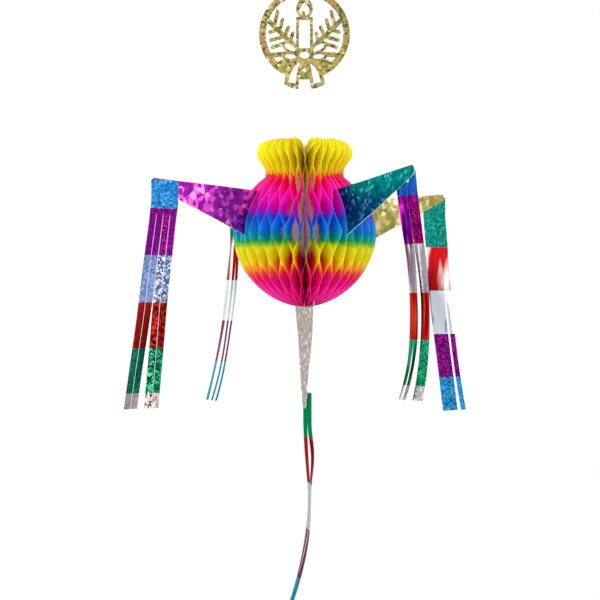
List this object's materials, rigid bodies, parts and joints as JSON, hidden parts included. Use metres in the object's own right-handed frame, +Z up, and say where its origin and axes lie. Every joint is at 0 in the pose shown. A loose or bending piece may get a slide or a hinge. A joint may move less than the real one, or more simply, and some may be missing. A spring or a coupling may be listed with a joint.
{
  "type": "paper pinata",
  "caption": "Hanging paper pinata: honeycomb tissue ball with a ruffled collar, foil card points with film fringes, on a thread below a die-cut foil medallion",
  "frame": {"origin": "top of the medallion's ring, where the pinata hangs, in the medallion's middle plane", "axes": "+Z up along the thread and the ball's axis, -Y the front that the picture shows, +X to its right"},
  "size_m": [0.3521, 0.3327, 0.6545],
  "materials": {
    "tissue": "dip-dyed rainbow tissue, matt",
    "white_card": "uncoated white card",
    "tape": "clear adhesive tape",
    "foil_teal": "card laminated with teal holographic foil",
    "foil_gold": "card laminated with gold holographic foil",
    "foil_red": "card laminated with red holographic foil",
    "foil_violet": "card laminated with violet holographic foil",
    "foil_silver": "card laminated with silver holographic foil",
    "film": "metallised film in colour bands",
    "nylon": "clear monofilament"
  },
  "bodies": {
    "hanger": {"medallion": "foil_gold"},
    "thread": {"hang_thread": "nylon"},
    "knot": {"thread_knot": "nylon"},
    "ball": {"honeycomb_left": "tissue", "honeycomb_right": "tissue", "spine_binding": "white_card", "cover_card_left": "white_card", "cover_card_right": "white_card", "closure_tape": "tape", "point_teal": "foil_teal", "glue_pad_teal": "tape", "fringe_header_teal": "film", "point_gold": "foil_gold", "glue_pad_gold": "tape", "fringe_header_gold": "film", "point_back": "foil_red", "glue_pad_back": "tape", "fringe_header_back": "film", "point_violet": "foil_violet", "glue_pad_violet": "tape", "fringe_header_violet": "film", "point_tail": "foil_silver", "glue_pad_tail": "tape", "fringe_header_tail": "film"},
    "fringe_teal": {"fringe_strands_teal": "film"},
    "fringe_gold": {"fringe_strands_gold": "film"},
    "fringe_back": {"fringe_strands_back": "film"},
    "fringe_violet": {"fringe_strands_violet": "film"},
    "fringe_tail": {"fringe_strands_tail": "film"}
  },
  "joints": [
    {"name": "thread_sway", "type": "hinge", "parent": "hanger", "child": "thread", "pos_m": [0, 0, -0.087], "axis": [0, 1, 0], "range_deg": [-40, 40]},
    {"name": "knot_swing", "type": "hinge", "parent": "thread", "child": "knot", "pos_m": [0, 0, -0.1755], "axis": [1, 0, 0], "range_deg": [-30, 30]},
    {"name": "ball_spin", "type": "hinge", "parent": "knot", "child": "ball", "pos_m": [0, 0, -0.1755], "axis": [0, 0, 1], "continuous": true},
    {"name": "fringe_teal_swing", "type": "hinge", "parent": "ball", "child": "fringe_teal", "pos_m": [0.09782, -0.13804, -0.22753], "axis": [0.5743, -0.8187, 0], "range_deg": [-30, 30]},
    {"name": "fringe_gold_swing", "type": "hinge", "parent": "ball", "child": "fringe_gold", "pos_m": [0.14335, 0.08177, -0.23385], "axis": [0.871, 0.4913, 0], "range_deg": [-30, 30]},
    {"name": "fringe_back_swing", "type": "hinge", "parent": "ball", "child": "fringe_back", "pos_m": [-0.08227, 0.14422, -0.22918], "axis": [-0.4913, 0.871, 0], "range_deg": [-30, 30]},
    {"name": "fringe_violet_swing", "type": "hinge", "parent": "ball", "child": "fringe_violet", "pos_m": [-0.13626, -0.09656, -0.23189], "axis": [-0.8187, -0.5743, 0], "range_deg": [-30, 30]},
    {"name": "fringe_tail_swing", "type": "hinge", "parent": "ball", "child": "fringe_tail", "pos_m": [0.00436, -0.00791, -0.4452], "axis": [0.4035, -0.915, 0], "range_deg": [-30, 30]}
  ]
}
